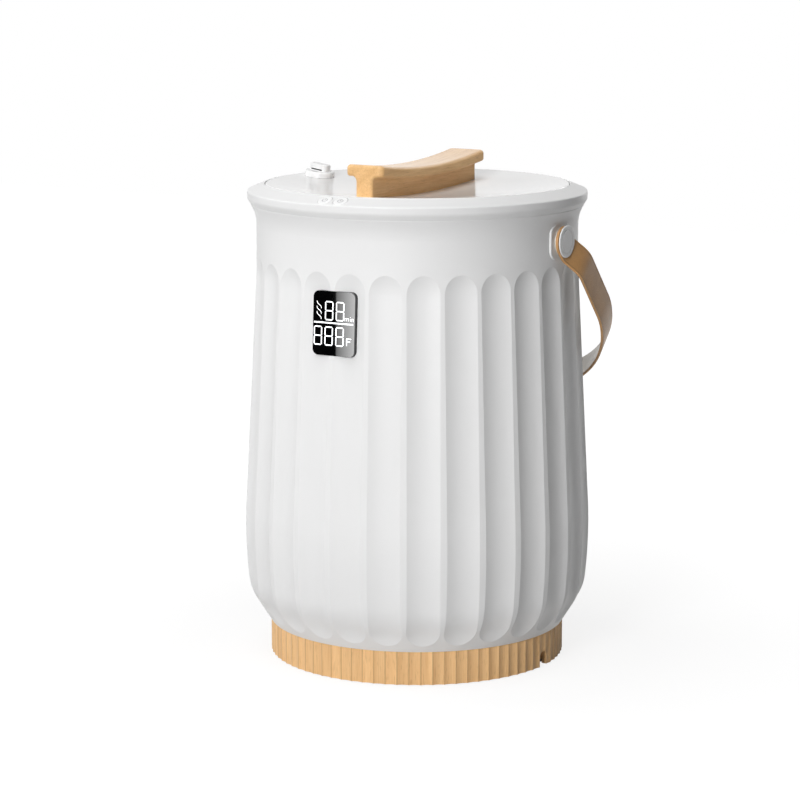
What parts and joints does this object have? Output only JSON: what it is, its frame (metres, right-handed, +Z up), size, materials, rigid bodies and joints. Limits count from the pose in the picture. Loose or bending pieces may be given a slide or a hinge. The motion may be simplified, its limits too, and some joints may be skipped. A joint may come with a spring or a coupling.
{
  "type": "towel warmer bucket",
  "caption": "Heated towel bucket with a fluted casing, wooden base, lift-off lid with a wooden handle, lid lock, buttons, display and a swinging leather strap.",
  "frame": {"origin": "on the floor, in the middle of the base ring", "axes": "+Z up, -Y to the front where the display and buttons are, the strap pivots lie on the X axis"},
  "size_m": [0.3048, 0.3184, 0.4362],
  "materials": {
    "white_plastic": "satin white ABS",
    "lid_plastic": "matt white heat-resistant plastic",
    "wood": "clear-lacquered beech",
    "leather": "tan leather with burnished edges",
    "aluminium": "brushed and clear anodised",
    "black_plastic": "matt black",
    "nylon": "natural nylon",
    "steel": "zinc-plated",
    "rubber": "dark grey silicone",
    "felt": "white needled felt",
    "film": "amber polyimide film",
    "circuit_board": "green solder mask",
    "glass": "smoked, polished",
    "lit_segments": "white diffuser",
    "thermostat": "ceramic white",
    "terminal": "green plastic",
    "wire": "black PVC sleeve"
  },
  "bodies": {
    "housing": {"foot_ring": "rubber", "base_ring": "wood", "bottom_plate": "black_plastic", "base_screws": "steel", "outer_shell": "white_plastic", "top_ring": "white_plastic", "ring_screws": "steel", "inner_bucket": "aluminium", "rim_gasket": "rubber", "bucket_cradle": "black_plastic", "insulation_disc": "felt", "insulation_sleeve": "felt", "heater_film": "film", "heater_bands": "aluminium", "thermostat": "thermostat", "ntc_sensor": "thermostat", "thermal_fuse": "thermostat", "sensor_bracket": "steel", "bracket_screws": "steel", "power_board": "circuit_board", "power_components": "black_plastic", "terminal_block": "terminal", "power_board_screws": "steel", "cord_inlet": "rubber", "display_window": "glass", "display_segments": "lit_segments", "display_reflector": "black_plastic", "display_board": "circuit_board", "display_screws": "steel", "button_board": "circuit_board", "button_switches": "steel", "button_board_screws": "steel", "wire_harness": "wire", "strap_studs": "steel", "strap_washers": "nylon", "strap_nuts": "steel", "strap_caps": "white_plastic"},
    "lid": {"lid_cover": "white_plastic", "lid_liner": "lid_plastic", "lid_insulation": "felt", "lid_liner_screws": "steel", "lid_handle": "wood", "handle_washers": "steel", "handle_screws": "steel"},
    "lock": {"lock_knob": "white_plastic", "lock_tongue": "nylon", "lock_screw": "steel"},
    "power_button": {"power_button": "white_plastic", "power_button_clip": "steel"},
    "timer_button": {"timer_button": "white_plastic", "timer_button_clip": "steel"},
    "strap": {"strap_band": "leather", "strap_eyelets": "steel"}
  },
  "joints": [
    {"name": "lid_lift", "type": "slide", "parent": "housing", "child": "lid", "axis": [0, 0, 1], "range_m": [0, 0.1]},
    {"name": "lock_turn", "type": "hinge", "parent": "lid", "child": "lock", "pos_m": [-0.1123, 0.0201, 0.41205], "axis": [0.1076, -0.0193, 0.994], "range_deg": [0, 90]},
    {"name": "power_press", "type": "slide", "parent": "housing", "child": "power_button", "axis": [0, 0, -1], "range_m": [0, 0.001], "stiffness_N_per_m": 400},
    {"name": "timer_press", "type": "slide", "parent": "housing", "child": "timer_button", "axis": [0, 0, -1], "range_m": [0, 0.001], "stiffness_N_per_m": 400},
    {"name": "strap_swing", "type": "hinge", "parent": "housing", "child": "strap", "pos_m": [0, 0, 0.3715], "axis": [1, 0, 0], "range_deg": [0, 268]}
  ]
}
